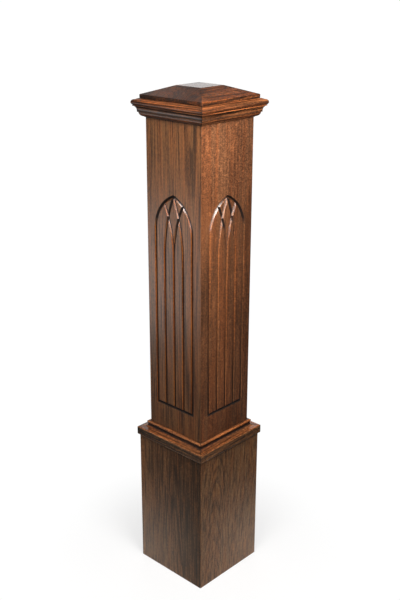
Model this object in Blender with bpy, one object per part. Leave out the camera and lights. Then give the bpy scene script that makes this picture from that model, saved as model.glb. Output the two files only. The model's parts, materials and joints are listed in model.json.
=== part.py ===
"""Box newel post: mitred boards round a hollow, a wrapped base, mitred mouldings and a solid cap.

Metres, +Z up, the floor at z = 0, the post's axis on the Z axis and its front face towards -Y.
"""
import math

import bmesh
import bpy
import numpy as np
from mathutils import Matrix

GAP = 0.0003

# Boards and overall sizes
BOARD = 0.019
SHAFT_WIDTH = 0.1634
SHAFT_HEIGHT = 1.1447
BASE_HEIGHT = 0.345
SHAFT_FACE = SHAFT_WIDTH / 2
BASE_FACE = SHAFT_FACE + BOARD

# Ledge moulding, from its foot up: eased shelf, cove, riser and bead
SHELF_THICK = 0.0207
SHELF_OVERHANG = 0.0045
NOSE_RADIUS = 0.0024
COVE_RADIUS = 0.006
RISER_HIGH = 0.0032
RISER_REACH = 0.005
BEAD_HIGH = 0.0068
BEAD_PAST_RISER = 0.0018
BEAD_TUCK = 60
LEDGE_FOOT = BASE_HEIGHT + GAP
SHELF_TOP = LEDGE_FOOT + SHELF_THICK
LEDGE_TOP = SHELF_TOP + COVE_RADIUS + RISER_HIGH + BEAD_HIGH

# Crown moulding, from its foot up and out: fillet, ovolo, step, cove, fillet, torus and weathered top
FOOT_REACH = 0.002
FOOT_HIGH = 0.001
OVOLO_OUT = 0.0088
OVOLO_HIGH = 0.0096
STEP_OUT = 0.0022
STEP_HIGH = 0.0018
COVE_OUT = 0.0069
COVE_HIGH = 0.011
FILLET_HIGH = 0.0018
TORUS_PAST_FILLET = 0.0025
TORUS_OUT = 0.0058
TORUS_HALF = 0.006
TORUS_TUCK = 75
WEATHER_FALL = 0.0022
OVOLO_REACH = FOOT_REACH + OVOLO_OUT
COVE_REACH = OVOLO_REACH + STEP_OUT
FILLET_REACH = COVE_REACH + COVE_OUT
TORUS_TUCK_DROP = TORUS_HALF * math.sin(math.radians(TORUS_TUCK))
CROWN_HIGH = (FOOT_HIGH + OVOLO_HIGH + STEP_HIGH + COVE_HIGH + FILLET_HIGH
              + TORUS_TUCK_DROP + TORUS_HALF + WEATHER_FALL)
CROWN_FOOT = SHAFT_HEIGHT - CROWN_HIGH

# Cap
CAP_FOOT = SHAFT_HEIGHT + GAP
CAP_OVERHANG = 0.009
CAP_REVEAL = 0.002
CAP_EDGE = 0.008
CAP_RISE = 0.019
CAP_FLAT = 0.071
CAP_WIDTH = SHAFT_WIDTH + 2 * CAP_OVERHANG

# Carved panel, the same on each face of the shaft
GROOVE_WIDTH = 0.0076
GROOVE_DEPTH = 0.0041
TRACERY_SHARE = 0.93
TRACERY_LAP = 0.0002
CUTTER_RISE = 0.0015
PANEL_SIDE_MARGIN = 0.0264
PANEL_FOOT_MARGIN = 0.0615
PANEL_TOP_MARGIN = 0.161
ARCH_RISE = 0.0795
LIMB_RISE = 0.1365
FORK_LAP = 0.012
PANEL_HALF = SHAFT_FACE - PANEL_SIDE_MARGIN
PANEL_FOOT = LEDGE_TOP + PANEL_FOOT_MARGIN
ARCH_APEX = CROWN_FOOT - PANEL_TOP_MARGIN
ARCH_SPRING = ARCH_APEX - ARCH_RISE
LIMB_SPRING = ARCH_APEX - LIMB_RISE

# Straight pieces in each curve
ARCH_STEPS = 10
LIMB_STEPS = 8
MOULDING_STEPS = 8
NOSE_STEPS = 4

SIDES = ("front", "right", "back", "left")


def clear_scene():
    for item in list(bpy.data.objects):
        bpy.data.objects.remove(item, do_unlink=True)


def new_collection(name, hidden=False):
    collection = bpy.data.collections.new(name)
    collection.hide_render = hidden
    bpy.context.scene.collection.children.link(collection)
    return collection


def wood(name, colour, roughness):
    material = bpy.data.materials.new(name)
    material.use_nodes = True
    shader = material.node_tree.nodes["Principled BSDF"]
    shader.inputs["Base Color"].default_value = (*colour, 1.0)
    shader.inputs["Roughness"].default_value = roughness
    material.diffuse_color = (*colour, 1.0)
    return material


def closed_mesh(name, body, material=None):
    """Turns a bmesh into a mesh with its faces pointing out."""
    bmesh.ops.recalc_face_normals(body, faces=body.faces)
    mesh = bpy.data.meshes.new(name)
    body.to_mesh(mesh)
    body.free()
    if material:
        mesh.materials.append(material)
    return mesh


def place(name, mesh, collection, turn=0.0):
    item = bpy.data.objects.new(name, mesh)
    item.rotation_euler.z = turn
    collection.objects.link(item)
    return item


def place_on_sides(name, mesh, collection):
    """One object for each side, turned round the post's axis from the front."""
    quarter = math.pi / 2
    return [place(name + "_" + side, mesh, collection, index * quarter) for index, side in enumerate(SIDES)]


def arc(centre, radii, start, end, steps):
    """Points on an ellipse's arc, angles in degrees from the first axis, both ends included."""
    angles = np.radians(np.linspace(start, end, steps + 1))
    return [(centre[0] + radii[0] * math.cos(a), centre[1] + radii[1] * math.sin(a)) for a in angles]


def mitred_length(section):
    """A length with a closed (distance from the axis, height) section, cut at 45 degrees at both ends."""
    body = bmesh.new()
    verts = [body.verts.new((0, -distance, height)) for distance, height in section]
    face = body.faces.new(verts)
    grown = bmesh.ops.extrude_face_region(body, geom=[face])
    far = {item for item in grown["geom"] if isinstance(item, bmesh.types.BMVert)}
    clearance = GAP / 2 * math.sqrt(2)
    for vert in body.verts:
        reach = -vert.co.y - clearance
        vert.co.x = reach if vert in far else -reach
    return body


def board_section(outer, inner, foot, top):
    return [(outer, foot), (outer, top), (inner, top), (inner, foot)]


def ledge_section():
    """Bead against the shaft, riser, cove, flat shelf and eased nose lapping over the base boards."""
    inner = SHAFT_FACE + GAP
    riser = SHAFT_FACE + RISER_REACH
    nose = BASE_FACE + SHELF_OVERHANG - NOSE_RADIUS
    bead = BEAD_HIGH / 2
    bead_foot = LEDGE_TOP - BEAD_HIGH
    points = [(inner, LEDGE_FOOT), (inner, LEDGE_TOP)]
    bead_middle = (riser + BEAD_PAST_RISER - bead, LEDGE_TOP - bead)
    cove_middle = (riser + COVE_RADIUS, SHELF_TOP + COVE_RADIUS)
    points += arc(bead_middle, (bead, bead), 90, -BEAD_TUCK, MOULDING_STEPS)
    points += [(riser, bead_foot)]
    points += arc(cove_middle, (COVE_RADIUS, COVE_RADIUS), 180, 270, MOULDING_STEPS)
    points += arc((nose, SHELF_TOP - NOSE_RADIUS), (NOSE_RADIUS, NOSE_RADIUS), 90, 0, NOSE_STEPS)
    points += arc((nose, LEDGE_FOOT + NOSE_RADIUS), (NOSE_RADIUS, NOSE_RADIUS), 0, -90, NOSE_STEPS)
    return points


def crown_section():
    """Weathered top and torus, fillet, cove, step and ovolo, going down from the cap."""
    inner = SHAFT_FACE + GAP
    fillet = SHAFT_FACE + FILLET_REACH
    cove = SHAFT_FACE + COVE_REACH
    foot = SHAFT_FACE + FOOT_REACH
    torus = (fillet + TORUS_PAST_FILLET - TORUS_OUT, SHAFT_HEIGHT - WEATHER_FALL - TORUS_HALF)
    fillet_top = torus[1] - TORUS_TUCK_DROP
    cove_top = fillet_top - FILLET_HIGH
    step_foot = cove_top - COVE_HIGH - STEP_HIGH
    points = [(inner, SHAFT_HEIGHT), (SHAFT_FACE + CAP_OVERHANG + CAP_REVEAL, SHAFT_HEIGHT)]
    points += arc(torus, (TORUS_OUT, TORUS_HALF), 90, -TORUS_TUCK, MOULDING_STEPS + NOSE_STEPS)
    points += [(fillet, fillet_top)]
    points += arc((fillet, cove_top - COVE_HIGH), (COVE_OUT, COVE_HIGH), 90, 180, MOULDING_STEPS)
    points += [(cove, step_foot)]
    points += arc((foot, step_foot), (OVOLO_OUT, OVOLO_HIGH), 0, -90, MOULDING_STEPS)
    points += [(foot, CROWN_FOOT), (inner, CROWN_FOOT)]
    return points


def cap_body():
    """One block: a square edge under a low pyramid cut off flat."""
    body = bmesh.new()
    slab = Matrix.Diagonal((CAP_WIDTH, CAP_WIDTH, CAP_EDGE, 1))
    bmesh.ops.create_cube(body, size=1, matrix=Matrix.Translation((0, 0, CAP_FOOT + CAP_EDGE / 2)) @ slab)
    top = max(body.faces, key=lambda face: face.calc_center_median().z)
    grown = bmesh.ops.extrude_face_region(body, geom=[top])
    bmesh.ops.delete(body, geom=[top], context="FACES_ONLY")
    upper = [item for item in grown["geom"] if isinstance(item, bmesh.types.BMVert)]
    taper = CAP_FLAT / CAP_WIDTH
    bmesh.ops.scale(body, verts=upper, vec=(taper, taper, 1))
    bmesh.ops.translate(body, verts=upper, vec=(0, 0, CAP_RISE))
    return body


def arch_half(reach_from, reach_to, spring, rise, steps):
    """Points on an arc that starts upright at (reach_from, spring) and ends at reach_to, a rise above."""
    shift = abs(reach_to - reach_from)
    radius = arch_radius(shift, rise)
    towards = math.copysign(1, reach_to - reach_from)
    points = []
    for angle in np.linspace(0, 2 * math.atan2(shift, rise), steps + 1):
        across = radius * (1 - math.cos(angle))
        points.append((reach_from + towards * across, spring + radius * math.sin(angle)))
    return points


def arch_radius(shift, rise):
    return (shift ** 2 + rise ** 2) / (2 * shift)


def arch_height_at(reach):
    """Height of the outer arch over a distance from the panel's middle."""
    radius = arch_radius(PANEL_HALF, ARCH_RISE)
    return ARCH_SPRING + math.sqrt(radius ** 2 - (reach - PANEL_HALF + radius) ** 2)


def run_on(points):
    """Carries both ends of a centre line a little way into the grooves they meet."""
    line = np.array(points)
    for end, before in ((0, 1), (-1, -2)):
        step = line[end] - line[before]
        line[end] += step / np.linalg.norm(step) * TRACERY_LAP
    return line


def panel_paths():
    """Centre lines of the grooves as (closed, points): the outline first, then the tracery."""
    left_arch = arch_half(-PANEL_HALF, 0, ARCH_SPRING, ARCH_RISE, ARCH_STEPS)
    right_arch = [(-x, z) for x, z in left_arch[:-1]]
    outline = [(-PANEL_HALF, PANEL_FOOT)] + left_arch + right_arch[::-1] + [(PANEL_HALF, PANEL_FOOT)]
    paths = [(True, outline)]
    between = PANEL_HALF / 2
    for hand in (-1, 1):
        limb = arch_half(hand * between, 0, LIMB_SPRING, LIMB_RISE, LIMB_STEPS)
        paths.append((False, run_on([(hand * between, PANEL_FOOT)] + limb)))
    fork_rise = arch_height_at(between) - LIMB_SPRING
    left_fork = arch_half(0, -between, LIMB_SPRING, fork_rise, LIMB_STEPS)
    right_fork = [(-x, z) for x, z in left_fork]
    paths.append((False, run_on([(0, PANEL_FOOT)] + left_fork)))
    paths.append((False, run_on([(0, LIMB_SPRING - FORK_LAP)] + right_fork)))
    return paths


def sweep_groove(body, points, closed):
    """Adds a V section swept along the centre line on the front face, mitred at each turn."""
    line = np.array(points)
    count = len(line)
    steps = np.roll(line, -1, axis=0) - line
    steps /= np.linalg.norm(steps, axis=1, keepdims=True)
    share = 1 if closed else TRACERY_SHARE
    depth = GROOVE_DEPTH * share
    half = (depth + CUTTER_RISE) * GROOVE_WIDTH / 2 / GROOVE_DEPTH
    rings = []
    for index in range(count):
        before = steps[index - 1] if closed or index > 0 else steps[index]
        after = steps[index] if closed or index < count - 1 else steps[index - 1]
        across = np.array([before[1] + after[1], -before[0] - after[0]])
        across /= np.linalg.norm(across)
        stretch = 1 / np.dot(across, (after[1], -after[0]))
        side = across * stretch * half
        x, z = line[index]
        front = -SHAFT_FACE - CUTTER_RISE
        rings.append([body.verts.new((x - side[0], front, z - side[1])),
                      body.verts.new((x + side[0], front, z + side[1])),
                      body.verts.new((x, -SHAFT_FACE + depth, z))])
    pairs = list(zip(rings, rings[1:]))
    if closed:
        pairs.append((rings[-1], rings[0]))
    else:
        body.faces.new(rings[0])
        body.faces.new(rings[-1][::-1])
    for low, high in pairs:
        for corner in range(3):
            following = (corner + 1) % 3
            body.faces.new((low[corner], low[following], high[following], high[corner]))


def panel_cutter():
    """All the grooves of one face in one body."""
    body = bmesh.new()
    for closed, points in panel_paths():
        sweep_groove(body, points, closed)
    return body


def carve(board, cutter):
    """Cuts a face's grooves into its board."""
    cutter.hide_render = True
    cutter.display_type = "WIRE"
    modifier = board.modifiers.new("panel", "BOOLEAN")
    modifier.operation = "DIFFERENCE"
    modifier.solver = "EXACT"
    modifier.use_self = True
    modifier.object = cutter


def build():
    clear_scene()
    post = new_collection("newel_post")
    cutters = new_collection("newel_post_cutters", hidden=True)
    shaft_oak = wood("shaft_oak", (0.13, 0.062, 0.032), 0.4)
    base_oak = wood("base_oak", (0.085, 0.05, 0.031), 0.42)
    ledge_oak = wood("ledge_oak", (0.14, 0.055, 0.024), 0.38)
    crown_oak = wood("crown_oak", (0.15, 0.058, 0.025), 0.36)
    cap_oak = wood("cap_oak", (0.16, 0.06, 0.026), 0.34)

    shaft = mitred_length(board_section(SHAFT_FACE, SHAFT_FACE - BOARD, 0, SHAFT_HEIGHT))
    base = mitred_length(board_section(BASE_FACE, SHAFT_FACE + GAP, 0, BASE_HEIGHT))
    boards = place_on_sides("shaft_board", closed_mesh("shaft_board", shaft, shaft_oak), post)
    grooves = place_on_sides("panel_grooves", closed_mesh("panel_grooves", panel_cutter()), cutters)
    for board, cutter in zip(boards, grooves):
        carve(board, cutter)
    place_on_sides("base_board", closed_mesh("base_board", base, base_oak), post)
    ledge = mitred_length(ledge_section())
    crown = mitred_length(crown_section())
    place_on_sides("ledge_moulding", closed_mesh("ledge_moulding", ledge, ledge_oak), post)
    place_on_sides("crown_moulding", closed_mesh("crown_moulding", crown, crown_oak), post)
    place("cap", closed_mesh("cap", cap_body(), cap_oak), post)


build()
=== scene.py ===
"""The dressed newel post: finer boards, mouldings and cap of stained oak, lit and framed as in the photo.

Metres, +Z up. Each side is drawn as the front one, which faces -Y, and turned round the post's axis.
"""
import json
import math

import bmesh
import bpy
import numpy as np
from mathutils import Matrix, Vector

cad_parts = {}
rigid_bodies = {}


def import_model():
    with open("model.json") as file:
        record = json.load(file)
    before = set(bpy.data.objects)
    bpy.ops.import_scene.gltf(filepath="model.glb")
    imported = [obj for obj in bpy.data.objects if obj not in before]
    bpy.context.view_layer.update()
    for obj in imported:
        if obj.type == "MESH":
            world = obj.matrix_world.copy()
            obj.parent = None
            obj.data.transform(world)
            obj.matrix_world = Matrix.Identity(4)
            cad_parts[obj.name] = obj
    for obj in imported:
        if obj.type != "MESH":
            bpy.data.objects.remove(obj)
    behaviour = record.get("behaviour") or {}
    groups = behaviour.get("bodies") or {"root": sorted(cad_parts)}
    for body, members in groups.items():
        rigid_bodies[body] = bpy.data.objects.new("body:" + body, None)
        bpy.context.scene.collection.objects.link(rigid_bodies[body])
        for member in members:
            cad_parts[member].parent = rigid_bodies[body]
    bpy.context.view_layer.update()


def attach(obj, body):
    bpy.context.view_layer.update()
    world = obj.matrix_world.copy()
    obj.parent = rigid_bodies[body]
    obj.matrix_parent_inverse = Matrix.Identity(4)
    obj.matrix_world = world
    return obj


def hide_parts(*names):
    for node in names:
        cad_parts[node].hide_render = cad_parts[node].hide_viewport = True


SIDES = ("front", "right", "back", "left")
GAP = 0.0003
MITRE_SLACK = GAP / 2 * math.sqrt(2)

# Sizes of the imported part, repeated here because this script can't read its source
SHAFT_FACE = 0.0817
SHAFT_INNER = 0.0627
SHAFT_HEIGHT = 1.1447
BASE_FACE = 0.1007
BASE_INNER = SHAFT_FACE + GAP
BASE_HEIGHT = 0.345

# Ledge moulding
SHELF_THICK = 0.0207
SHELF_OVERHANG = 0.0045
NOSE_RADIUS = 0.0024
COVE_RADIUS = 0.006
RISER_HIGH = 0.0032
RISER_REACH = 0.005
BEAD_HIGH = 0.0068
BEAD_PAST_RISER = 0.0018
BEAD_TUCK = 60
LEDGE_FOOT = BASE_HEIGHT + GAP
SHELF_TOP = LEDGE_FOOT + SHELF_THICK
LEDGE_TOP = SHELF_TOP + COVE_RADIUS + RISER_HIGH + BEAD_HIGH

# Crown moulding
FOOT_REACH = 0.002
FOOT_HIGH = 0.001
OVOLO_OUT = 0.0088
OVOLO_HIGH = 0.0096
STEP_OUT = 0.0022
STEP_HIGH = 0.0018
COVE_OUT = 0.0069
COVE_HIGH = 0.011
FILLET_HIGH = 0.0018
TORUS_PAST_FILLET = 0.0025
TORUS_OUT = 0.0058
TORUS_HALF = 0.006
TORUS_TUCK = 75
WEATHER_FALL = 0.0022
OVOLO_REACH = FOOT_REACH + OVOLO_OUT
COVE_REACH = OVOLO_REACH + STEP_OUT
FILLET_REACH = COVE_REACH + COVE_OUT
TORUS_TUCK_DROP = TORUS_HALF * math.sin(math.radians(TORUS_TUCK))
CROWN_HIGH = (FOOT_HIGH + OVOLO_HIGH + STEP_HIGH + COVE_HIGH + FILLET_HIGH
              + TORUS_TUCK_DROP + TORUS_HALF + WEATHER_FALL)
CROWN_FOOT = SHAFT_HEIGHT - CROWN_HIGH

# Cap
CAP_FOOT = SHAFT_HEIGHT + GAP
CAP_OVERHANG = 0.009
CAP_REVEAL = 0.002
CAP_EDGE = 0.008
CAP_RISE = 0.019
CAP_FLAT = 0.071
CAP_WIDTH = 2 * (SHAFT_FACE + CAP_OVERHANG)

# Carved panel
GROOVE_HALF = 0.0038
GROOVE_DEPTH = 0.0041
TRACERY_SHARE = 0.93
TRACERY_LAP = 0.0002
CUTTER_RISE = 0.0015
PANEL_HALF = SHAFT_FACE - 0.0264
PANEL_FOOT = LEDGE_TOP + 0.0615
ARCH_APEX = CROWN_FOOT - 0.161
ARCH_SPRING = ARCH_APEX - 0.0795
LIMB_SPRING = ARCH_APEX - 0.1365
FORK_LAP = 0.012

# Finish of the edges, finer than the solids show
SHAFT_EASE = 0.001
BASE_EASE = 0.0009
FOOT_EASE = 0.0006
CAP_EASE = 0.0008
CAP_EASE_STEPS = 4
SHOULDER_RADIUS = 0.0005
GROOVE_BOTTOM_RADIUS = 0.0004
FLANK_SHARES = (0.3, 0.45, 0.6, 0.7)
ABOVE_FACE = 0.00001
HOLD = 0.00015
HOLD_FROM = 0.0008
SMOOTH_UNDER = 28

# Stain and painted shade in hollows, and the dark mitre joints: where each starts, how far it reaches, and
# its share where it is darkest
STAIN_AND_SHADE_DEPTHS = (0.45, 0.6, 0.7)
STAIN_AND_SHADE_SHARES = (0.0, 0.9, 1.0)
SILL_SHADE_DEPTHS = (0.15, 0.45)
STAIN_AND_SHADE_ON_FLECKED = 0.5
MITRE_LINE = 0.0016
MITRE_DARK = 0.95
LEDGE_HOLLOW = 0.0052
LEDGE_DARK = 0.9
CORNER_HOLLOW = 0.0014
TORUS_HOLLOW = 0.0018
TORUS_HOLLOW_OUT = 0.0011
TORUS_HOLLOW_UP = 0.0009
CROWN_FOOT_HOLLOW = 0.0032
CROWN_DARK = 0.85
# The feet of the base and cap are darkened as painted shade, less on the cap's lit right side
BASE_FOOT_DARK = 0.8
CAP_FOOT_DARK = 0.6
CAP_RIGHT_FOOT_SHADE = 0.2

# Rubbed edges and painted highlights: how much lighter each one is, and the reach of each from full to none
SHAFT_WEAR_AND_HIGHLIGHT = 2.0
BASE_WEAR = 0.5
BEAD_HIGHLIGHT = 3.3
BEAD_HIGHLIGHT_REACH = (0.0015, 0.0052)
BEAD_HIGHLIGHT_DROP = BEAD_HIGH / 2.5
BEAD_UNSHADED = 0.35
SHELF_EDGE_HIGHLIGHT = 0.7
SHELF_HIGHLIGHT_SHARE = 0.6
TORUS_TOP_HIGHLIGHT = 1.2
TORUS_HIGHLIGHT_REACH = (0.0004, 0.003)
FILLET_HIGHLIGHT = 1.3
FILLET_SLACK = 0.0004
FILLET_ABOVE = 0.0002
CAP_WEAR = 1.0
# The cap's right side is lightened as painted light
CAP_RIGHT_SIDE_LIGHT = 2.2

# Which faces are flanks of a groove, slopes of the cap, and flanks that look down, by their normals
FLANK_UNDER = 0.9
LOOKING_DOWN = (-0.2, -0.03)
SLOPE_OVER = 0.25

# Straight pieces in each curve
EASE_STEPS = 4
SHOULDER_STEPS = 4
BOTTOM_STEPS = 4
ARCH_STEPS = 40
LIMB_STEPS = 34
SMALL_ARC_STEPS = 10
MOULDING_STEPS = 20


def arc(centre, radii, start, end, steps):
    """Points on an ellipse's arc, angles in degrees from the first axis, both ends included."""
    angles = np.radians(np.linspace(start, end, steps + 1))
    return [(centre[0] + radii[0] * math.cos(a), centre[1] + radii[1] * math.sin(a)) for a in angles]


def board_plan(outer, inner, ease):
    """Plan of the front board: mitred ends, and its half of each eased arris."""
    centre = outer - ease
    right = []
    for angle in np.linspace(0, math.pi / 4, EASE_STEPS + 1):
        x = centre + ease * math.sin(angle)
        y = -centre - ease * math.cos(angle)
        right.append((min(x, -y - MITRE_SLACK), y))
    right.append((inner - MITRE_SLACK, -inner))
    left = [(-x, y) for x, y in reversed(right)]
    return right + left


def loft(rings):
    """A closed body through rings of points that go round the same way."""
    body = bmesh.new()
    loops = [[body.verts.new(point) for point in ring] for ring in rings]
    for low, high in zip(loops, loops[1:]):
        for index in range(len(low)):
            after = (index + 1) % len(low)
            body.faces.new((low[index], low[after], high[after], high[index]))
    body.faces.new(loops[0][::-1])
    body.faces.new(loops[-1])
    return body


def board_body(levels):
    """A board through (height, plan) levels."""
    return loft([[(x, y, height) for x, y in plan] for height, plan in levels])


def held(section):
    """Adds a point just inside both ends of each long flat, so that smooth shading stays in the curves."""
    points = []
    for index, start in enumerate(section):
        end = section[(index + 1) % len(section)]
        start = np.array(start)
        step = np.array(end) - start
        length = np.linalg.norm(step)
        points.append(tuple(start))
        if length > HOLD_FROM:
            points.append(tuple(start + step * HOLD / length))
            points.append(tuple(start + step * (1 - HOLD / length)))
    return points


def moulding_body(section):
    """A length with a closed (distance from the axis, height) section, mitred at both ends.

    A ring just inside each end bounds the dark line of the mitre."""
    rings = []
    for hand, back in ((-1, 0), (-1, MITRE_LINE), (1, MITRE_LINE), (1, 0)):
        less = MITRE_SLACK + back
        rings.append([(hand * (distance - less), -distance, height) for distance, height in section])
    return loft(rings)


def ledge_section():
    """Bead against the shaft, riser, cove, flat shelf and eased nose lapping over the base boards."""
    inner = SHAFT_FACE + GAP
    riser = SHAFT_FACE + RISER_REACH
    nose = BASE_FACE + SHELF_OVERHANG - NOSE_RADIUS
    bead = BEAD_HIGH / 2
    bead_middle = (riser + BEAD_PAST_RISER - bead, LEDGE_TOP - bead)
    cove_middle = (riser + COVE_RADIUS, SHELF_TOP + COVE_RADIUS)
    nose_radii = (NOSE_RADIUS, NOSE_RADIUS)
    points = [(inner, LEDGE_FOOT), (inner, LEDGE_TOP)]
    points += arc(bead_middle, (bead, bead), 90, -BEAD_TUCK, MOULDING_STEPS)
    points += [(riser, LEDGE_TOP - BEAD_HIGH)]
    points += arc(cove_middle, (COVE_RADIUS, COVE_RADIUS), 180, 270, MOULDING_STEPS)
    points += arc((nose, SHELF_TOP - NOSE_RADIUS), nose_radii, 90, 0, SMALL_ARC_STEPS)
    points += arc((nose, LEDGE_FOOT + NOSE_RADIUS), nose_radii, 0, -90, SMALL_ARC_STEPS)
    return points


def crown_section():
    """Weathered top and torus, fillet, cove, step and ovolo, going down from the cap."""
    inner = SHAFT_FACE + GAP
    fillet = SHAFT_FACE + FILLET_REACH
    cove = SHAFT_FACE + COVE_REACH
    foot = SHAFT_FACE + FOOT_REACH
    torus = (fillet + TORUS_PAST_FILLET - TORUS_OUT, SHAFT_HEIGHT - WEATHER_FALL - TORUS_HALF)
    fillet_top = torus[1] - TORUS_TUCK_DROP
    cove_top = fillet_top - FILLET_HIGH
    step_foot = cove_top - COVE_HIGH - STEP_HIGH
    points = [(inner, SHAFT_HEIGHT), (SHAFT_FACE + CAP_OVERHANG + CAP_REVEAL, SHAFT_HEIGHT)]
    points += arc(torus, (TORUS_OUT, TORUS_HALF), 90, -TORUS_TUCK, MOULDING_STEPS * 2)
    points += [(fillet, fillet_top)]
    points += arc((fillet, cove_top - COVE_HIGH), (COVE_OUT, COVE_HIGH), 90, 180, MOULDING_STEPS)
    points += [(cove, step_foot)]
    points += arc((foot, step_foot), (OVOLO_OUT, OVOLO_HIGH), 0, -90, MOULDING_STEPS)
    points += [(foot, CROWN_FOOT), (inner, CROWN_FOOT)]
    return points


def cap_body():
    """One block with eased edges: a square edge under a low pyramid cut off flat."""
    body = bmesh.new()
    slab = Matrix.Diagonal((CAP_WIDTH, CAP_WIDTH, CAP_EDGE, 1))
    bmesh.ops.create_cube(body, size=1, matrix=Matrix.Translation((0, 0, CAP_FOOT + CAP_EDGE / 2)) @ slab)
    top = max(body.faces, key=lambda face: face.calc_center_median().z)
    grown = bmesh.ops.extrude_face_region(body, geom=[top])
    bmesh.ops.delete(body, geom=[top], context="FACES_ONLY")
    upper = [item for item in grown["geom"] if isinstance(item, bmesh.types.BMVert)]
    taper = CAP_FLAT / CAP_WIDTH
    bmesh.ops.scale(body, verts=upper, vec=(taper, taper, 1))
    bmesh.ops.translate(body, verts=upper, vec=(0, 0, CAP_RISE))
    bmesh.ops.bevel(body, geom=body.edges[:], offset=CAP_EASE, segments=CAP_EASE_STEPS, profile=0.5,
                    affect="EDGES")
    return body


def arch_radius(shift, rise):
    return (shift ** 2 + rise ** 2) / (2 * shift)


def arch_half(reach_from, reach_to, spring, rise, steps):
    """Points on an arc that starts upright at (reach_from, spring) and ends at reach_to, a rise above."""
    shift = abs(reach_to - reach_from)
    radius = arch_radius(shift, rise)
    towards = math.copysign(1, reach_to - reach_from)
    points = []
    for angle in np.linspace(0, 2 * math.atan2(shift, rise), steps + 1):
        across = radius * (1 - math.cos(angle))
        points.append((reach_from + towards * across, spring + radius * math.sin(angle)))
    return points


def arch_height_at(reach):
    """Height of the outer arch over a distance from the panel's middle."""
    radius = arch_radius(PANEL_HALF, ARCH_APEX - ARCH_SPRING)
    return ARCH_SPRING + math.sqrt(radius ** 2 - (reach - PANEL_HALF + radius) ** 2)


def run_on(points):
    """Carries both ends of a centre line a little way into the grooves they meet."""
    line = np.array(points)
    for end, before in ((0, 1), (-1, -2)):
        step = line[end] - line[before]
        line[end] += step / np.linalg.norm(step) * TRACERY_LAP
    return line


def panel_paths():
    """Centre lines of the grooves as (closed, points): the outline first, then the tracery."""
    left_arch = arch_half(-PANEL_HALF, 0, ARCH_SPRING, ARCH_APEX - ARCH_SPRING, ARCH_STEPS)
    right_arch = [(-x, z) for x, z in left_arch[:-1]]
    outline = [(-PANEL_HALF, PANEL_FOOT)] + left_arch + right_arch[::-1] + [(PANEL_HALF, PANEL_FOOT)]
    paths = [(True, outline)]
    between = PANEL_HALF / 2
    for hand in (-1, 1):
        limb = arch_half(hand * between, 0, LIMB_SPRING, ARCH_APEX - LIMB_SPRING, LIMB_STEPS)
        paths.append((False, run_on([(hand * between, PANEL_FOOT)] + limb)))
    fork_rise = arch_height_at(between) - LIMB_SPRING
    left_fork = arch_half(0, -between, LIMB_SPRING, fork_rise, LIMB_STEPS)
    right_fork = [(-x, z) for x, z in left_fork]
    paths.append((False, run_on([(0, PANEL_FOOT)] + left_fork)))
    paths.append((False, run_on([(0, LIMB_SPRING - FORK_LAP)] + right_fork)))
    return paths


def groove_section(share):
    """(offset, depth) points of a V with eased shoulders and a softened bottom, from right to left."""
    half = GROOVE_HALF * share
    depth = GROOVE_DEPTH * share
    slope = math.atan2(depth, half)
    tangent = SHOULDER_RADIUS * math.tan(slope / 2)
    right = [(half + tangent, -CUTTER_RISE)]
    for angle in np.linspace(0, slope, SHOULDER_STEPS + 1):
        sunk = SHOULDER_RADIUS * (1 - math.cos(angle))
        right.append((half + tangent - SHOULDER_RADIUS * math.sin(angle), sunk if sunk else -ABOVE_FACE))
    for share_down in FLANK_SHARES:
        right.append((half * (1 - share_down), depth * share_down))
    middle = depth - GROOVE_BOTTOM_RADIUS / math.cos(slope)
    radius = GROOVE_BOTTOM_RADIUS
    for angle in np.linspace(slope, 0, BOTTOM_STEPS + 1):
        right.append((radius * math.sin(angle), middle + radius * math.cos(angle)))
    left = [(-offset, sunk) for offset, sunk in reversed(right[:-1])]
    return right + left


def sweep_groove(body, points, closed):
    """Adds a groove's section swept along its centre line on the front face, mitred at each turn."""
    line = np.array(points)
    count = len(line)
    steps = np.roll(line, -1, axis=0) - line
    steps /= np.linalg.norm(steps, axis=1, keepdims=True)
    section = groove_section(1 if closed else TRACERY_SHARE)
    rings = []
    for index in range(count):
        before = steps[index - 1] if closed or index > 0 else steps[index]
        after = steps[index] if closed or index < count - 1 else steps[index - 1]
        across = np.array([before[1] + after[1], -before[0] - after[0]])
        across /= np.linalg.norm(across)
        side = across / np.dot(across, (after[1], -after[0]))
        x, z = line[index]
        rings.append([body.verts.new((x + side[0] * offset, sunk - SHAFT_FACE, z + side[1] * offset))
                      for offset, sunk in section])
    pairs = list(zip(rings, rings[1:]))
    if closed:
        pairs.append((rings[-1], rings[0]))
    else:
        body.faces.new(rings[0])
        body.faces.new(rings[-1][::-1])
    for low, high in pairs:
        for corner in range(len(section)):
            following = (corner + 1) % len(section)
            body.faces.new((low[corner], low[following], high[following], high[corner]))


def new_mesh(name, body):
    """Turns a bmesh into a mesh with its faces pointing out."""
    bmesh.ops.recalc_face_normals(body, faces=body.faces)
    mesh = bpy.data.meshes.new(name)
    body.to_mesh(mesh)
    body.free()
    return mesh


def carved(mesh):
    """The shaft board's mesh with the panel's grooves cut into its face."""
    cutter_body = bmesh.new()
    for closed, points in panel_paths():
        sweep_groove(cutter_body, points, closed)
    cutter = bpy.data.objects.new("panel_cutter", new_mesh("panel_cutter", cutter_body))
    board = bpy.data.objects.new("plain_board", mesh)
    for item in (cutter, board):
        bpy.context.scene.collection.objects.link(item)
    cut = board.modifiers.new("panel", "BOOLEAN")
    cut.operation = "DIFFERENCE"
    cut.solver = "EXACT"
    cut.use_self = True
    cut.object = cutter
    view = bpy.context.evaluated_depsgraph_get()
    result = bpy.data.meshes.new_from_object(board.evaluated_get(view), depsgraph=view)
    result.name = "carved_board"
    for item in (cutter, board):
        bpy.data.objects.remove(item, do_unlink=True)
    return result


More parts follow.
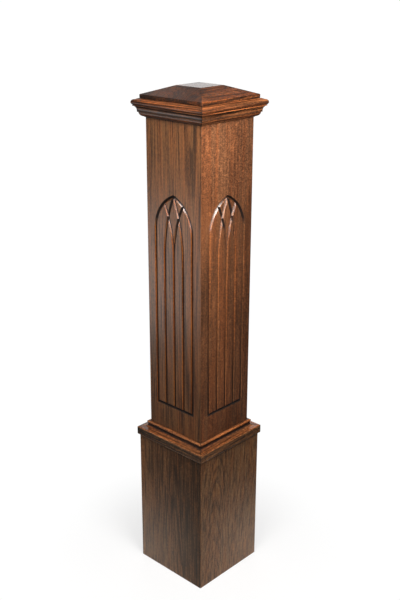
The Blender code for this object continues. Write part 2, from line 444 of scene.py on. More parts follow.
def smooth_curves(mesh):
    """Smooth shading inside each curve, and sharp edges between curves and flats."""
    mesh.shade_smooth()
    mesh.set_sharp_from_angle(angle=math.radians(SMOOTH_UNDER))
    return mesh


def ramp_down(value, low, high):
    """1 at low, falling to 0 at high."""
    return np.clip((high - value) / (high - low), 0, 1)


def store(mesh, name, kind, domain, values):
    attribute = mesh.attributes.new(name, kind, domain)
    field = "vector" if kind == "FLOAT_VECTOR" else "value"
    attribute.data.foreach_set(field, np.asarray(values, np.float32).ravel())


def set_grain(mesh, along, pith, lean):
    """Writes where each vertex is in the log that its piece was sawn from: two axes across it, one along.

    along is the grain's direction and pith a point of the log's middle, both on the front side. lean tilts
    the log. It also writes how squarely each face cuts the grain."""
    axis = Vector(along) + Vector(lean)
    axis.normalize()
    first = Vector((1, 0, 0)) if abs(axis.x) < 0.9 else Vector((0, 0, 1))
    first = (first - axis * first.dot(axis)).normalized()
    second = axis.cross(first)
    points = np.array([vertex.co for vertex in mesh.vertices]) - np.array(pith)
    basis = np.array([first, second, axis])
    store(mesh, "grain", "FLOAT_VECTOR", "POINT", points @ basis.T)
    ends = [abs(face.normal.dot(Vector(along))) for face in mesh.polygons]
    store(mesh, "end_grain", "FLOAT", "FACE", ends)


def set_tone(mesh, dark, wear_and_highlight):
    """Writes the share of stain and painted shade in a hollow and of wear and painted highlight on an edge,
    for each vertex.
    """
    store(mesh, "stain_and_shade", "FLOAT", "POINT", dark)
    store(mesh, "wear_and_highlight", "FLOAT", "POINT", wear_and_highlight)


def heights(mesh):
    return np.array([vertex.co for vertex in mesh.vertices])


def near_hollows(points, hollows):
    """How close each (distance, height) point is to the nearest hollow, from 1 in it to 0 at its edge."""
    share = np.zeros(len(points))
    for distance, height, reach in hollows:
        away = np.hypot(points[:, 0] - distance, points[:, 1] - height)
        share = np.maximum(share, ramp_down(away, 0, reach))
    return share


def shaft_board(mesh):
    """Tone of a carved board: stain and painted shade in the grooves, wear and a painted highlight on the
    upright arris.

    Cut flanks facing up are lighter, partly cut wood and partly painted light; those facing down get painted
    shade.
    """
    points = heights(mesh)
    sunk = points[:, 1] + SHAFT_FACE
    on_face = sunk < GROOVE_DEPTH + SHOULDER_RADIUS
    past = np.abs(points[:, 0]) - (SHAFT_FACE - SHAFT_EASE)
    depth = np.interp(np.clip(sunk / GROOVE_DEPTH, 0, 1), STAIN_AND_SHADE_DEPTHS, STAIN_AND_SHADE_SHARES)
    sill = np.interp(sunk / GROOVE_DEPTH, SILL_SHADE_DEPTHS, (0, 1)) * (points[:, 2] < PANEL_FOOT + GROOVE_HALF)
    depth = np.maximum(depth, sill) * on_face * (past <= 0)
    set_tone(mesh, depth, SHAFT_WEAR_AND_HIGHLIGHT * np.clip(past / SHAFT_EASE, 0, 1) * (sunk < SHAFT_EASE))
    cut_flank_light = []
    for face in mesh.polygons:
        flank = abs(face.normal.y) < FLANK_UNDER and abs(face.center.x) < SHAFT_FACE - 2 * SHAFT_EASE
        inside = 0 < face.center.y + SHAFT_FACE < GROOVE_DEPTH and face.center.z > PANEL_FOOT + GROOVE_HALF
        lit = np.interp(face.normal.z, LOOKING_DOWN, (-1, 1))
        cut_flank_light.append(lit if flank and inside else 0)
    store(mesh, "cut_flank_light", "FLOAT", "FACE", cut_flank_light)


def base_board(mesh):
    """Tone of a base board: a foot darkened as painted shade where it meets the floor, a little wear on the
    upright arris.
    """
    points = heights(mesh)
    past = np.abs(points[:, 0]) - (BASE_FACE - BASE_EASE)
    outer = points[:, 1] < -BASE_FACE + BASE_EASE
    foot = BASE_FOOT_DARK * ramp_down(points[:, 2], 0, FOOT_EASE)
    set_tone(mesh, foot, BASE_WEAR * np.clip(past / BASE_EASE, 0, 1) * outer)


def profile_of(mesh):
    """Distance from the axis and height of each vertex, and how dark the mitre is there."""
    points = heights(mesh)
    profile = np.column_stack([-points[:, 1], points[:, 2]])
    mitre = ramp_down(profile[:, 0] - np.abs(points[:, 0]), MITRE_SLACK, MITRE_SLACK + MITRE_LINE)
    return profile, MITRE_DARK * mitre


def ledge_length(mesh):
    """Tone of the ledge: stain and painted shade in the riser and cove, painted highlights on the bead and
    shelf edge, a dull nose.
    """
    profile, mitre = profile_of(mesh)
    riser = SHAFT_FACE + RISER_REACH
    hollows = [(riser, SHELF_TOP + COVE_RADIUS, LEDGE_HOLLOW), (SHAFT_FACE, LEDGE_TOP, CORNER_HOLLOW)]
    dark = np.minimum(LEDGE_DARK, 2 * near_hollows(profile, hollows))
    outer = profile[:, 0] > BASE_FACE
    nose = ramp_down(profile[:, 1], SHELF_TOP - NOSE_RADIUS, SHELF_TOP - NOSE_RADIUS / 3)
    from_bead = profile - (riser + BEAD_PAST_RISER, LEDGE_TOP - BEAD_HIGHLIGHT_DROP)
    bead = ramp_down(np.hypot(from_bead[:, 0], from_bead[:, 1]), *BEAD_HIGHLIGHT_REACH)
    edge_highlight = ramp_down(profile[:, 1], SHELF_TOP - NOSE_RADIUS, SHELF_TOP) < SHELF_HIGHLIGHT_SHARE
    stain_and_shade_kept = np.where(bead > BEAD_UNSHADED, 0, dark)
    set_tone(mesh, np.maximum(mitre, stain_and_shade_kept), BEAD_HIGHLIGHT * bead + SHELF_EDGE_HIGHLIGHT * edge_highlight * outer)
    store(mesh, "dulled", "FLOAT", "POINT", nose * outer)


def crown_length(mesh):
    """Tone of the crown: stain and painted shade in the hollows between its members, painted highlights on
    the torus and fillet.
    """
    profile, mitre = profile_of(mesh)
    fillet = SHAFT_FACE + FILLET_REACH
    torus_foot = SHAFT_HEIGHT - WEATHER_FALL - TORUS_HALF - TORUS_TUCK_DROP
    cove_foot = torus_foot - FILLET_HIGH - COVE_HIGH
    hollows = [(fillet + TORUS_HOLLOW_OUT, torus_foot + TORUS_HOLLOW_UP, TORUS_HOLLOW),
               (SHAFT_FACE + COVE_REACH, cove_foot, CORNER_HOLLOW),
               (SHAFT_FACE + OVOLO_REACH, cove_foot - STEP_HIGH, CORNER_HOLLOW),
               (SHAFT_FACE, CROWN_FOOT, CROWN_FOOT_HOLLOW)]
    rise = profile[:, 1] - (SHAFT_HEIGHT - WEATHER_FALL)
    shoulder = ramp_down(-rise, *TORUS_HIGHLIGHT_REACH) * (profile[:, 0] > SHAFT_FACE + CAP_OVERHANG)
    band = (abs(profile[:, 0] - fillet) < FILLET_SLACK) * (profile[:, 1] < torus_foot + FILLET_ABOVE)
    dark = CROWN_DARK * near_hollows(profile, hollows) * (band == 0)
    set_tone(mesh, np.maximum(mitre, dark), TORUS_TOP_HIGHLIGHT * shoulder + FILLET_HIGHLIGHT * band)


def cap_tone(mesh):
    """Tone of the cap's edges: a foot darkened as painted shade, less on the right; corners lighter with
    wear; the right side lightened as painted light.
    """
    points = heights(mesh)
    edge = np.sort(np.abs(points[:, :2]), axis=1)[:, 0] > CAP_WIDTH / 2 - CAP_EASE
    side = (points[:, 0] > CAP_WIDTH / 2 - CAP_EASE) * (points[:, 2] < CAP_FOOT + CAP_EDGE + CAP_EASE)
    foot = ramp_down(points[:, 2], CAP_FOOT, CAP_FOOT + 2 * CAP_EASE)
    dark = foot * np.where(side, CAP_RIGHT_FOOT_SHADE, CAP_FOOT_DARK)
    set_tone(mesh, dark, np.maximum(edge * CAP_WEAR, side * CAP_RIGHT_SIDE_LIGHT))


def cap_finish(mesh):
    """Painted light tone, polish and matt of the cap's slopes. The two away from the front are matt."""
    tones = []
    polish = []
    matt = []
    for face in mesh.polygons:
        x, y, z = face.normal
        tones.append(FRONT_SLOPE_LIGHT if abs(y) > SLOPE_OVER else SIDE_SLOPE_LIGHT * (abs(x) > SLOPE_OVER))
        polish.append(RIGHT_SLOPE_POLISH if x > SLOPE_OVER else 1)
        matt.append(z > SLOPE_OVER and (y > SLOPE_OVER or x < -SLOPE_OVER))
    store(mesh, "board_light_tone", "FLOAT", "FACE", tones)
    store(mesh, "polish", "FLOAT", "FACE", polish)
    store(mesh, "matt", "FLOAT", "FACE", matt)


class Nodes:
    """Adds nodes to one tree. An input is a constant or another node's output."""

    def __init__(self, tree):
        self.tree = tree
        tree.nodes.clear()

    def add(self, kind, inputs, **settings):
        node = self.tree.nodes.new(kind)
        for key, value in settings.items():
            setattr(node, key, value)
        for key, value in inputs.items():
            if isinstance(value, bpy.types.NodeSocket):
                self.tree.links.new(value, node.inputs[key])
            else:
                node.inputs[key].default_value = value
        return node

    def attribute(self, name, output="Fac"):
        return self.add("ShaderNodeAttribute", {}, attribute_name=name).outputs[output]

    def math(self, operation, first, second=0.0, clamp=False):
        inputs = {0: first, 1: second}
        return self.add("ShaderNodeMath", inputs, operation=operation, use_clamp=clamp).outputs[0]

    def vector(self, operation, first, second):
        return self.add("ShaderNodeVectorMath", {0: first, 1: second}, operation=operation).outputs[0]

    def stretched(self, point, across, along, offset=0.0):
        """The point scaled across and along the grain, so that 1 is one cell of a noise."""
        scaled = self.vector("MULTIPLY", point, (across, across, along))
        return self.vector("ADD", scaled, (offset, offset, offset))

    def noise(self, point, detail=2.0, roughness=0.5, output="Fac"):
        inputs = {"Vector": point, "Scale": 1.0, "Detail": detail, "Roughness": roughness}
        return self.add("ShaderNodeTexNoise", inputs).outputs[output]

    def between(self, value, low, high, bottom=0.0, top=1.0):
        """value, read from low to high, eased and laid from bottom to top."""
        inputs = {"Value": value, "From Min": low, "From Max": high, "To Min": bottom, "To Max": top}
        return self.add("ShaderNodeMapRange", inputs, interpolation_type="SMOOTHSTEP").outputs[0]

    def mix(self, share, first, second, blend="MIX"):
        inputs = {0: share, 6: first, 7: second}
        return self.add("ShaderNodeMix", inputs, data_type="RGBA", blend_type=blend).outputs[2]

    def ramp(self, value, stops):
        node = self.add("ShaderNodeValToRGB", {"Fac": value})
        elements = node.color_ramp.elements
        while len(elements) < len(stops):
            elements.new(0.5)
        for element, (place, colour) in zip(elements, stops):
            element.position = place
            element.color = (*colour, 1.0)
        return node.outputs["Color"]


# Cells of each noise to the metre of the log, as (across the grain, along it)
SLOW_WANDER = (13.0, 2.6)
QUICK_WANDER = (90.0, 9.0)
QUICK_REACH = 0.0018
SPRING_CELLS = (32.0, 3.0)
PORE_CELLS = (2100.0, 120.0)
LINE_CELLS = (290.0, 8.0)
STREAK_CELLS = (130.0, 3.4)
BLOTCH_CELLS = (17.0, 6.0)
HUE_CELLS = (85.0, 3.0)
SPECK_CELLS = (300.0, 170.0)

# Where each noise starts and ends to count
STRENGTH_RANGE = (0.35, 0.7)
PORE_RANGE = (0.56, 0.66)
LINE_RANGE = (0.3, 0.62)
RAY_RANGE = (0.52, 0.68)
HUE_RANGE = (0.35, 0.65)

# Growth rings and rays. The pores open and close at these shares of a year
PORES_OPEN = (0.0, 0.12)
PORES_CLOSE = (0.2, 0.6)
WEAKEST_YEAR = 0.15
LATE_PORES = 0.3
RING_WIDTH = 0.004
RING_CELLS = 70.0
RING_UNEVEN = 3.0
RAY_CELLS_OUT = 90.0
RAY_CELLS_ROUND = 60.0
RAY_CELLS_ALONG = 100.0

# How much each field lightens or darkens the wood, and where it is neutral
PORE_TONE = -0.3
LINE_MIDDLE = 0.8
RAY_MIDDLE = 0.3
END_TONE = -0.34
WEAR_AND_HIGHLIGHT_TONE = 0.1
STAIN_AND_SHADE_STRENGTH = 0.97

# Colours of the wood from dark to light, of its drift, of the stain and of the dulled nose
WOOD = ((0.0, (0.008, 0.004, 0.0024)), (0.3, (0.052, 0.0205, 0.0085)), (0.55, (0.155, 0.060, 0.0235)),
        (1.0, (0.42, 0.175, 0.066)))
REDDER = (1.06, 0.96, 0.88, 1.0)
GREYER = (0.95, 1.03, 1.1, 1.0)
STAIN_AND_SHADE_COLOUR = (0.004, 0.0018, 0.0008, 1.0)
DULLED = (0.62, 0.84, 1.0, 1.0)

# Gloss and relief
ROUGHNESS = 0.4
SPECK_ROUGHNESS = 0.16
PORE_ROUGHNESS = 0.2
CUT_SMOOTHNESS = 0.16
MATT_ROUGHNESS = 0.5
STAIN_AND_SHADE_ROUGHNESS = 0.3
CUT_COAT = 0.3
COAT_ROUGHNESS = 0.22
SPRING_RELIEF = -0.25
LINE_RELIEF = 0.3
SPECK_RELIEF = 0.4
RELIEF_STRENGTH = 0.55
RELIEF_DEPTH = 0.00025

# Painted light: flecked boards grow lighter between two heights. Painted light tones, and the polish, slope
# between two places across a board
LIGHT_RISE_FROM = 0.6
LIGHT_RISE_TO = 1.08
SLOPE_FROM = -0.02
SLOPE_TO = 0.07

# In the order of the sides: where the middle of each board's log lies, and how the log leans
SHAFT_LOGS = (((0.051, 0.0005, 1.0), (0, -0.0114, 0)), ((0.15, -0.12, 0.5), (0.01, 0.01, 0)),
              ((-0.05, 0.01, 1.0), (0.005, 0.02, 0)), ((0.12, -0.10, 0.2), (-0.01, 0.02, 0)))
BASE_LOGS = (((0.014, -0.04, 0.1), (0.0, 0.035, 0)), ((-0.05, -0.03, 0.2), (0.06, 0.09, 0)),
             ((0.04, -0.01, 0.3), (0.01, 0.06, 0)), ((-0.03, -0.02, 0.2), (0.03, 0.08, 0)))
CAP_LOG = ((-0.02, 0, 1.10), (0.03, 0, 0.02))

# Painted light and shade as tones of the mouldings, in the order of the sides, and changes of tone and
# polish across the boards from left to right
CROWN_LIGHT_TONES = (-0.17, 0.04, -0.05, -0.1)
LEDGE_LIGHT_TONES = (0.0, 0.1, 0.0, 0.03)
FLECKED_SHAFT_LIGHT = (0.0, -0.1)
FLECKED_BASE_LIGHT = (0.03, 0.08)
FLECKED_BASE_POLISH = (0.25, 1.1)
PLAIN_BASE_LIGHT = (0.04, -0.2)
PLAIN_BASE_POLISH = (1.4, 0.0)
LOG_SHIFT = 0.07

# Finish of the cap's slopes: painted light tones of the front and side slopes, and the right slope's polish
FRONT_SLOPE_LIGHT = 0.09
SIDE_SLOPE_LIGHT = -0.045
RIGHT_SLOPE_POLISH = 0.35


def warped(nodes, grain, wander):
    """The log's coordinates, pushed about a little so that no growth ring is a perfect cylinder."""
    centre = (-0.5, -0.5, -0.5)
    slow = nodes.noise(nodes.stretched(grain, *SLOW_WANDER), 1.0, 0.5, "Color")
    quick = nodes.noise(nodes.stretched(grain, *QUICK_WANDER, 5.0), 2.0, 0.5, "Color")
    slow = nodes.vector("MULTIPLY", nodes.vector("ADD", slow, centre), (wander, wander, 0.0))
    quick = nodes.vector("MULTIPLY", nodes.vector("ADD", quick, centre), (QUICK_REACH, QUICK_REACH, 0.0))
    return nodes.vector("ADD", nodes.vector("ADD", grain, slow), quick)


def oak(name, tint, wander=0.006, early=0.24, line=0.3, streak=0.34, blotch=0.2, fleck=0.05, mottle=0.14,
        lift=0.0, coat=0.24, ends=(0.25, 0.95), cut=0.15, cut_tint=(1.0, 0.74, 0.44), speck=SPECK_CELLS,
        shine_level=0.3, rise=None):
    """Stained and lacquered oak, drawn in the log's coordinates: growth rings, pores, streaks and rays.

    early, line, streak, blotch, mottle and fleck are the strengths of the spring wood, the fine lines, the
    streaks, the blotches, the specks and the rays. cut and cut_tint lighten and tint the grooves' flanks
    that face up, partly as cut wood and partly as painted light. rise, if given, is painted light: a change
    of tone between two heights.
    ends gives how squarely a face cuts the grain where it starts to darken and where it is darkest."""
    material = bpy.data.materials.new(name)
    material.use_nodes = True
    nodes = Nodes(material.node_tree)
    grain = nodes.attribute("grain", "Vector")
    log = warped(nodes, grain, wander)
    flat = nodes.vector("MULTIPLY", log, (1.0, 1.0, 0.0))
    radius = nodes.add("ShaderNodeVectorMath", {0: flat}, operation="LENGTH").outputs["Value"]
    parts = nodes.add("ShaderNodeSeparateXYZ", {0: log}).outputs
    turn = nodes.math("ARCTAN2", parts["Y"], parts["X"])

    # Growth rings of uneven width: open pores at the start of each year, fading into dense wood
    outward = nodes.add("ShaderNodeCombineXYZ", {0: nodes.math("MULTIPLY", radius, RING_CELLS)}).outputs[0]
    shift = nodes.math("MULTIPLY", nodes.noise(outward), RING_UNEVEN)
    year = nodes.math("ADD", nodes.math("DIVIDE", radius, RING_WIDTH), shift)
    season = nodes.math("FRACT", year)
    opened = nodes.between(season, *PORES_OPEN)
    closed = nodes.between(season, *PORES_CLOSE, 1.0, 0.0)
    spring = nodes.math("MULTIPLY", opened, closed)
    strength = nodes.noise(nodes.stretched(grain, *SPRING_CELLS, 11.0), 2.0)
    spring = nodes.math("MULTIPLY", spring, nodes.between(strength, *STRENGTH_RANGE, WEAKEST_YEAR, 1.0))

    # Pores are fine dashes along the grain, thickest in the spring wood
    pore_share = nodes.math("ADD", nodes.math("MULTIPLY", spring, 1 - LATE_PORES), LATE_PORES)
    pore_field = nodes.noise(nodes.stretched(grain, *PORE_CELLS), 1.0)
    pores = nodes.math("MULTIPLY", nodes.between(pore_field, *PORE_RANGE), pore_share)
    lines = nodes.between(nodes.noise(nodes.stretched(grain, *LINE_CELLS, 3.0), 2.0), *LINE_RANGE)
    streaks = nodes.noise(nodes.stretched(grain, *STREAK_CELLS, 7.0), 3.0, 0.6)
    blotches = nodes.noise(nodes.stretched(grain, *BLOTCH_CELLS, 9.0), 2.0)
    specks = nodes.noise(nodes.stretched(grain, *speck, 13.0), 3.0, 0.6)

    # Rays stand on edge through the rings: wide flecks where a face runs along them, ticks elsewhere
    ray_axes = {0: nodes.math("MULTIPLY", radius, RAY_CELLS_OUT),
                1: nodes.math("MULTIPLY", turn, RAY_CELLS_ROUND),
                2: nodes.math("MULTIPLY", parts["Z"], RAY_CELLS_ALONG)}
    ray_place = nodes.add("ShaderNodeCombineXYZ", ray_axes).outputs[0]
    rays = nodes.between(nodes.noise(ray_place, 2.0, 0.6), *RAY_RANGE)

    # Cut flanks facing up are lighter, partly cut wood and partly painted light; those that look down get
    # painted shade
    cut_flank_light = nodes.math("MAXIMUM", nodes.attribute("cut_flank_light"), 0.0)
    under = nodes.math("MAXIMUM", nodes.math("MULTIPLY", nodes.attribute("cut_flank_light"), -STAIN_AND_SHADE_STRENGTH), 0.0)
    across = nodes.between(nodes.attribute("end_grain"), *ends)
    tone = nodes.math("ADD", 0.5 + lift, nodes.math("MULTIPLY", spring, -early))
    for field, share, middle in ((pores, PORE_TONE, 0.0), (lines, line, LINE_MIDDLE),
                                 (streaks, streak, 0.5), (blotches, blotch, 0.5), (specks, mottle, 0.5),
                                 (rays, fleck, RAY_MIDDLE), (nodes.attribute("board_light_tone"), 1.0, 0.0),
                                 (across, END_TONE, 0.0), (nodes.attribute("wear_and_highlight"), WEAR_AND_HIGHLIGHT_TONE, 0.0),
                                 (cut_flank_light, cut, 0.0)):
        share_of = nodes.math("MULTIPLY", nodes.math("SUBTRACT", field, middle), share)
        tone = nodes.math("ADD", tone, share_of)
    # Painted light: lighter towards the top of the board, between two heights
    if rise:
        place_on = nodes.add("ShaderNodeTexCoord", {}).outputs["Object"]
        height = nodes.add("ShaderNodeSeparateXYZ", {0: place_on}).outputs["Z"]
        tone = nodes.math("ADD", tone, nodes.between(height, LIGHT_RISE_FROM, LIGHT_RISE_TO, *rise))
    colour = nodes.ramp(tone, WOOD)
    hues = nodes.noise(nodes.stretched(grain, *HUE_CELLS, 17.0), 2.0)
    leaning = nodes.mix(nodes.between(hues, *HUE_RANGE), REDDER, GREYER)
    colour = nodes.mix(1.0, colour, leaning, "MULTIPLY")
    colour = nodes.mix(1.0, colour, (*tint, 1.0), "MULTIPLY")
    colour = nodes.mix(cut_flank_light, colour, (*cut_tint, 1.0), "MULTIPLY")
    colour = nodes.mix(nodes.attribute("dulled"), colour, DULLED, "MULTIPLY")
    # Stain and painted shade in hollows, and painted shade on flanks that look down, darken the colour
    stain_and_shade = nodes.math("MULTIPLY", nodes.attribute("stain_and_shade"), STAIN_AND_SHADE_STRENGTH)
    stain_and_shade = nodes.math("MAXIMUM", stain_and_shade, under)
    colour = nodes.mix(stain_and_shade, colour, STAIN_AND_SHADE_COLOUR)

    # Roughness, then the weight of the lacquer: neither faces with stain and painted shade nor matt faces
    # have any
    uneven = nodes.math("MULTIPLY", nodes.math("SUBTRACT", specks, 0.5), SPECK_ROUGHNESS)
    shine = nodes.math("ADD", ROUGHNESS, uneven)
    shine = nodes.math("ADD", shine, nodes.math("MULTIPLY", pores, PORE_ROUGHNESS))
    shine = nodes.math("SUBTRACT", shine, nodes.math("MULTIPLY", cut_flank_light, CUT_SMOOTHNESS))
    shine = nodes.math("ADD", shine, nodes.math("MULTIPLY", nodes.attribute("matt"), MATT_ROUGHNESS))
    shine = nodes.math("ADD", shine, nodes.math("MULTIPLY", stain_and_shade, STAIN_AND_SHADE_ROUGHNESS), clamp=True)
    lacquer = nodes.math("MULTIPLY", nodes.attribute("polish"), coat)
    lacquer = nodes.math("ADD", lacquer, nodes.math("MULTIPLY", cut_flank_light, CUT_COAT), clamp=True)
    dull = nodes.math("MAXIMUM", stain_and_shade, nodes.attribute("matt"))
    lacquer = nodes.math("MULTIPLY", lacquer, nodes.math("SUBTRACT", 1.0, dull))
    relief = nodes.math("MULTIPLY", pores, -1.0)
    relief = nodes.math("ADD", relief, nodes.math("MULTIPLY", spring, SPRING_RELIEF))
    relief = nodes.math("ADD", relief, nodes.math("MULTIPLY", lines, LINE_RELIEF))
    relief = nodes.math("ADD", relief, nodes.math("MULTIPLY", specks, SPECK_RELIEF))
    bump = nodes.add("ShaderNodeBump", {"Height": relief, "Strength": RELIEF_STRENGTH,
                                        "Distance": RELIEF_DEPTH})
    inputs = {"Base Color": colour, "Roughness": shine, "Normal": bump.outputs[0], "IOR": 1.5,
              "Coat Weight": lacquer, "Coat Roughness": COAT_ROUGHNESS, "Specular IOR Level": shine_level}
    shader = nodes.add("ShaderNodeBsdfPrincipled", inputs)
    output = nodes.add("ShaderNodeOutputMaterial", {"Surface": shader.outputs[0]})
    output.is_active_output = True
    return material


def place(name, mesh, material, turn, slot):
    """A piece of the post that stands for the CAD node of the same name."""
    mesh.materials.clear()
    mesh.materials.append(material)
    piece = bpy.data.objects.new(name + "_dressed", mesh)
    piece.rotation_euler.z = turn
    bpy.context.scene.collection.objects.link(piece)
    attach(piece, "root")
    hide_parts(name)
    return piece


def sided(index, name, mesh, material, slot, along, log, tone=0.0):
    """One side's copy of a mesh, with its own place in the log and its own painted light tone.

    log holds a point of the log's middle and the log's lean."""
    copy = mesh.copy()
    copy.name = name
    set_grain(copy, along, *log)
    store(copy, "board_light_tone", "FLOAT", "POINT", [tone] * len(copy.vertices))
    store(copy, "polish", "FLOAT", "POINT", [1] * len(copy.vertices))
    return place(name, copy, material, index * math.pi / 2, slot)


def lessen_groove_stain_and_shade(mesh, share):
    """Leaves only a share of the stain and painted shade in the grooves of one board."""
    values = mesh.attributes["stain_and_shade"].data
    for value, vertex in zip(values, mesh.vertices):
        if vertex.co.z > PANEL_FOOT + GROOVE_HALF:
            value.value *= share


def slope_across(mesh, name, left, right):
    """Lets a painted light tone, or the polish, of an upright board change from its left part to its right
    edge.
    """
    values = np.interp(heights(mesh)[:, 0], (SLOPE_FROM, SLOPE_TO), (left, right))
    mesh.attributes[name].data.foreach_set("value", values)


def build_post():
    upright = (0, 0, 1)
    level = (1, 0, 0)
    shaft_oak = oak("shaft_oak_straight", (1.0, 1.0, 0.84), early=0.19, line=0.2, streak=0.14, blotch=0.06,
                    mottle=0.35)
    flecked_oak = oak("shaft_oak_flecked", (1.05, 0.99, 1.0), early=0.14, line=0.12, streak=0.2, blotch=0.3,
                      fleck=0.1, mottle=0.9, lift=0.015, cut=0.14, cut_tint=(1.0, 0.98, 0.9),
                      speck=(260.0, 430.0), rise=(-0.03, 0.06))
    base_oak = oak("base_oak_dark", (0.87, 1.0, 1.04), wander=0.012, early=0.17, line=0.26, streak=0.22,
                   mottle=0.5, lift=0.04, coat=0.55, shine_level=0.15)
    ledge_oak = oak("ledge_oak_red", (1.04, 0.88, 0.74), line=0.4, streak=0.7, mottle=1.2)
    crown_oak = oak("crown_oak_red", (1.08, 0.88, 0.7), line=0.4, streak=0.7, blotch=0.4, mottle=0.7)
    cap_oak = oak("cap_oak_dark", (1.02, 0.74, 0.5), streak=0.5, blotch=0.7, mottle=1.1, lift=-0.23,
                  coat=0.34, ends=(0.05, 0.6), speck=(260.0, 260.0))

    plan = board_plan(SHAFT_FACE, SHAFT_INNER, SHAFT_EASE)
    shaft = carved(new_mesh("shaft", board_body([(0, plan), (SHAFT_HEIGHT, plan)])))
    shaft_board(shaft)
    full = board_plan(BASE_FACE, BASE_INNER, BASE_EASE)
    eased = board_plan(BASE_FACE - FOOT_EASE, BASE_INNER, BASE_EASE)
    base = new_mesh("base", board_body([(0, eased), (FOOT_EASE, full), (BASE_HEIGHT, full)]))
    base_board(base)
    ledge = smooth_curves(new_mesh("ledge", moulding_body(held(ledge_section()))))
    ledge_length(ledge)
    crown = smooth_curves(new_mesh("crown", moulding_body(held(crown_section()))))
    crown_length(crown)

    for index, side in enumerate(SIDES):
        flecked = side in ("right", "left")
        sort = flecked_oak if flecked else shaft_oak
        board = sided(index, "shaft_board_" + side, shaft, sort, "shaft_oak", upright, SHAFT_LOGS[index])
        if flecked:
            lessen_groove_stain_and_shade(board.data, STAIN_AND_SHADE_ON_FLECKED)
            slope_across(board.data, "board_light_tone", *FLECKED_SHAFT_LIGHT)
        board = sided(index, "base_board_" + side, base, base_oak, "base_oak", upright, BASE_LOGS[index])
        slope_across(board.data, "board_light_tone", *(FLECKED_BASE_LIGHT if flecked else PLAIN_BASE_LIGHT))
        slope_across(board.data, "polish", *(FLECKED_BASE_POLISH if flecked else PLAIN_BASE_POLISH))
        shift = LOG_SHIFT * index
        sided(index, "ledge_moulding_" + side, ledge, ledge_oak, "ledge_oak", level,
              ((shift, -0.06, 0.30 + shift), (0, 0.02, 0.01)), LEDGE_LIGHT_TONES[index])
        sided(index, "crown_moulding_" + side, crown, crown_oak, "crown_oak", level,
              ((shift, -0.05, 1.06 + shift / 2), (0, 0.01, 0.02)), CROWN_LIGHT_TONES[index])
    cap = new_mesh("cap", cap_body())
    cap_tone(cap)
    set_grain(cap, (0, 1, 0), *CAP_LOG)
    cap_finish(cap)
    place("cap", cap, cap_oak, 0.0, "cap_oak")
    for mesh in (shaft, base, ledge, crown):
        bpy.data.meshes.remove(mesh)


# Camera, fitted to twenty corners of the post and to its silhouette in the photo
CAMERA_PLACE = (1.3392, -1.4180, 1.4104)
CAMERA_TURN = 43.323
CAMERA_DOWN = 20.308
CAMERA_ROLL = 0.149
CAMERA_LENS = 54.45
SENSOR = 36.0


def add_camera():
    lens = bpy.data.cameras.new("photo_camera")
    lens.lens = CAMERA_LENS
    lens.sensor_width = SENSOR
    camera = bpy.data.objects.new("photo_camera", lens)
    turn = Matrix.Rotation(math.radians(CAMERA_TURN), 4, "Z")
    tip = Matrix.Rotation(math.radians(90 - CAMERA_DOWN), 4, "X")
    roll = Matrix.Rotation(math.radians(CAMERA_ROLL), 4, "Z")
    camera.matrix_world = Matrix.Translation(CAMERA_PLACE) @ turn @ tip @ roll
    bpy.context.scene.collection.objects.link(camera)
    bpy.context.scene.camera = camera


# Lights and background: the strips' distance and lean, their aim, and the colours of the light
STRIP_AWAY = 1.5
STRIP_LEAN = 34
PANEL_MIDDLE = (0.04, -0.04, 0.92)
WARM = (1.0, 0.97, 0.93)
MILD = (1.0, 0.98, 0.95)
COOL = (1.0, 1.03, 1.08)
NEUTRAL = (1.0, 1.0, 1.0)
BACKDROP = (1.02, 1.02, 1.02, 1.0)

# Brightness of the world as light, by the share of the way from straight down to straight up
WORLD_BANDS = ((0.0, 0.04), (0.44, 0.04), (0.49, 0.15), (0.52, 0.3), (0.58, 0.25), (0.64, 0.06), (1.0, 0.04))

# Floor: what the object sees near it and further out, and how far each reaches
FLOOR_RADIUS = 1.6
FLOOR_NEAR = (0.9, 0.85, 0.77, 1.0)
FLOOR_FAR = (0.1, 0.1, 0.1, 1.0)
FLOOR_SHOWN = (0.9, 0.9, 0.9, 1.0)
NEAR_ENDS = (0.16, 0.62)
SHADOW_ENDS = (0.1, 0.5)
SHADOW_GLOW = 0.6
FLOOR_BOUNCE = 0.13


def softbox(name, place_at, look_at, size, watts, colour=NEUTRAL, tall=None, lean=0.0):
    """An area light that the camera doesn't see. tall is its height where it isn't square."""
    data = bpy.data.lights.new(name, "AREA")
    data.shape = "RECTANGLE"
    data.size = size
    data.size_y = tall or size
    data.energy = watts
    data.color = colour
    lamp = bpy.data.objects.new(name, data)
    direction = Vector(look_at) - Vector(place_at)
    facing = direction.to_track_quat("-Z", "Y").to_matrix().to_4x4()
    lamp.matrix_world = Matrix.Translation(place_at) @ facing @ Matrix.Rotation(math.radians(lean), 4, "Z")
    lamp.visible_camera = False
    bpy.context.scene.collection.objects.link(lamp)


def add_world():
    """White where the camera looks past the floor. As light, a white band at eye level, dim elsewhere."""
    world = bpy.data.worlds.new("studio")
    world.use_nodes = True
    bpy.context.scene.world = world
    nodes = Nodes(world.node_tree)
    direction = nodes.add("ShaderNodeTexCoord", {}).outputs["Generated"]
    height = nodes.add("ShaderNodeSeparateXYZ", {0: direction}).outputs["Z"]
    shares = nodes.math("MULTIPLY_ADD", height, 0.5)
    shares.node.inputs[2].default_value = 0.5
    light = nodes.ramp(shares, [(share, (bright,) * 3) for share, bright in WORLD_BANDS])
    seen = nodes.add("ShaderNodeLightPath", {}).outputs["Is Camera Ray"]
    colour = nodes.mix(seen, light, BACKDROP)
    back = nodes.add("ShaderNodeBackground", {"Color": colour, "Strength": 1.0})
    nodes.add("ShaderNodeOutputWorld", {"Surface": back.outputs[0]})


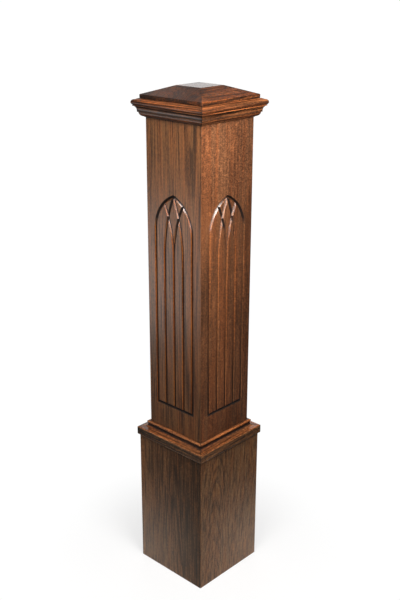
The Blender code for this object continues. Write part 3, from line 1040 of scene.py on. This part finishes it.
def add_floor():
    """A pale round floor, white to the camera further out and faintly shaded by the foot. To the post it
    glows near the foot, as painted bounce light, and is dark further out.
    """
    body = bmesh.new()
    bmesh.ops.create_circle(body, cap_ends=True, segments=96, radius=FLOOR_RADIUS)
    mesh = bpy.data.meshes.new("floor")
    body.to_mesh(mesh)
    body.free()
    material = bpy.data.materials.new("pale_floor")
    material.use_nodes = True
    nodes = Nodes(material.node_tree)
    point = nodes.add("ShaderNodeTexCoord", {}).outputs["Object"]
    away = nodes.add("ShaderNodeVectorMath", {0: point}, operation="LENGTH").outputs["Value"]
    near = nodes.between(away, *NEAR_ENDS, 1.0, 0.0)
    paper = nodes.mix(near, FLOOR_FAR, FLOOR_NEAR)
    matt = nodes.add("ShaderNodeBsdfDiffuse", {"Color": paper})
    strength = nodes.math("MULTIPLY", near, FLOOR_BOUNCE)
    bounce = nodes.add("ShaderNodeEmission", {"Color": paper, "Strength": strength})
    lit = nodes.add("ShaderNodeAddShader", {0: matt.outputs[0], 1: bounce.outputs[0]})
    white = nodes.add("ShaderNodeBsdfDiffuse", {"Color": FLOOR_SHOWN})
    glow = nodes.add("ShaderNodeEmission", {"Color": BACKDROP, "Strength": 1.0})
    fade = nodes.between(away, *SHADOW_ENDS, SHADOW_GLOW, 1.0)
    shown = nodes.add("ShaderNodeMixShader", {0: fade, 1: white.outputs[0], 2: glow.outputs[0]})
    seen = nodes.add("ShaderNodeLightPath", {}).outputs["Is Camera Ray"]
    surface = nodes.add("ShaderNodeMixShader", {0: seen, 1: lit.outputs[0], 2: shown.outputs[0]})
    nodes.add("ShaderNodeOutputMaterial", {"Surface": surface.outputs[0]})
    mesh.materials.append(material)
    floor = bpy.data.objects.new("floor", mesh)
    bpy.context.scene.collection.objects.link(floor)


def strip_place(azimuth, elevation):
    """A place round the panels' arches, angles in degrees, azimuth from +X."""
    turn = math.radians(azimuth)
    rise = math.radians(elevation)
    level = STRIP_AWAY * math.cos(rise)
    height = PANEL_MIDDLE[2] + STRIP_AWAY * math.sin(rise)
    return (level * math.cos(turn), level * math.sin(turn), height)


def add_lights():
    """Softboxes and leaning strips on both sides of the camera, a low card, and two glows behind.

    The strips stand where the arches' lit flanks mirror them to the camera."""
    softbox("right_softbox", (0.62, -0.24, 1.42), (0.04, -0.02, 0.96), 0.4, 12.6, WARM)
    softbox("left_softbox", (0.26, -0.65, 1.65), (0.0, -0.05, 0.98), 0.42, 12.0, MILD)
    softbox("right_strip", strip_place(-30, 28), PANEL_MIDDLE, 0.12, 8.5, COOL, 1.8, -STRIP_LEAN)
    softbox("left_strip", strip_place(-58, 22), PANEL_MIDDLE, 0.1, 4.6, COOL, 1.45, STRIP_LEAN)
    softbox("low_card", (-1.7, -1.5, 0.05), (0.0, -0.08, 0.75), 0.6, 6.0)
    softbox("back_glow", (-1.6, 1.6, 1.42), (0.0, 0.0, 1.1), 1.2, 8.0)
    softbox("cap_glow", (-1.0, 0.38, 1.78), (0.0, -0.06, 1.16), 0.45, 0.2)


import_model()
for item in [o for o in bpy.data.objects if o.name in ("Cube", "Light", "Camera")]:
    bpy.data.objects.remove(item, do_unlink=True)
bpy.context.scene.view_settings.view_transform = "Standard"
build_post()
add_camera()
add_lights()
add_world()
add_floor()
